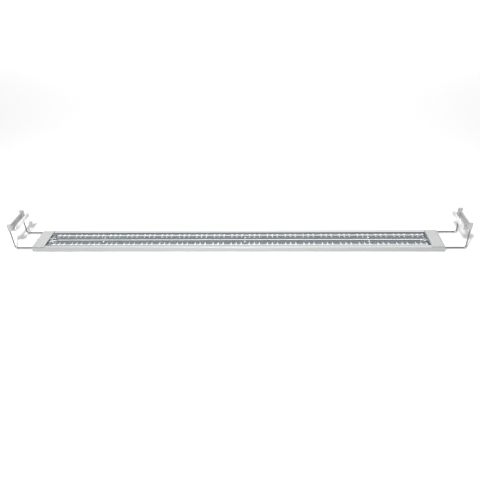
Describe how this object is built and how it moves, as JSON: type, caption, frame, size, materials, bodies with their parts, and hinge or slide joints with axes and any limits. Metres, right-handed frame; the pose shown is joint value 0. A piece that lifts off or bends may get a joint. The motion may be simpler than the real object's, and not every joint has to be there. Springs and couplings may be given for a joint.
{
  "type": "led aquarium light",
  "caption": "Long flat aquarium lamp: aluminium rail with two LED boards under a clear cover, and sliding wire brackets with clips for the tank's rims.",
  "frame": {"origin": "centre of the rail's flat back, which lies on the surface", "axes": "+X along the lamp towards the right bracket, +Y across it, +Z out of the light side, up as pictured"},
  "size_m": [1.2352, 0.09, 0.0846],
  "materials": {
    "rail_aluminium": "satin anodised, drawn along its length",
    "clear_acrylic": "clear and glossy",
    "screw_steel": "bright zinc plated",
    "black_plastic": "fine moulded",
    "contact_brass": "bright",
    "lead_insulation": "smooth vinyl",
    "board_laminate": "glossy solder mask",
    "tape_white": "matte adhesive tape",
    "led_white": "moulded package with a pale phosphor window",
    "resistor_ceramic": "ceramic chip",
    "silicone": "translucent, satin",
    "cap_plastic": "fine speckled texture",
    "black_rubber": "matte",
    "wire_steel": "drawn stainless wire",
    "clip_plastic": "translucent smoke grey",
    "clip_clear": "translucent, nearly clear"
  },
  "bodies": {
    "housing": {"rail": "rail_aluminium", "cover": "clear_acrylic", "board_screws": "screw_steel", "dc_inlet": "black_plastic", "dc_inlet_pin": "contact_brass", "dc_inlet_nut": "screw_steel", "link_wire": "lead_insulation", "board_front": "board_laminate", "thermal_tape_front": "tape_white", "leds_front": "led_white", "resistors_front": "resistor_ceramic", "cover_seal_front": "black_rubber", "lead_front": "lead_insulation", "board_rear": "board_laminate", "thermal_tape_rear": "tape_white", "leds_rear": "led_white", "resistors_rear": "resistor_ceramic", "cover_seal_rear": "black_rubber", "lead_rear": "lead_insulation", "end_cap_left": "cap_plastic", "cap_screws_left": "screw_steel", "grommets_left": "black_rubber", "end_cap_right": "cap_plastic", "cap_screws_right": "screw_steel", "grommets_right": "black_rubber"},
    "bracket_left": {"wire_front_left": "wire_steel", "wire_rear_left": "wire_steel", "clip_left": "clip_plastic", "clip_jaw_left": "clip_clear", "clip_pads_left": "silicone"},
    "bracket_right": {"wire_front_right": "wire_steel", "wire_rear_right": "wire_steel", "clip_right": "clip_plastic", "clip_jaw_right": "clip_clear", "clip_pads_right": "silicone"}
  },
  "joints": [
    {"name": "left_extend", "type": "slide", "parent": "housing", "child": "bracket_left", "axis": [-1, 0, 0], "range_m": [-0.035, 0.05]},
    {"name": "right_extend", "type": "slide", "parent": "housing", "child": "bracket_right", "axis": [1, 0, 0], "range_m": [-0.035, 0.05]}
  ]
}
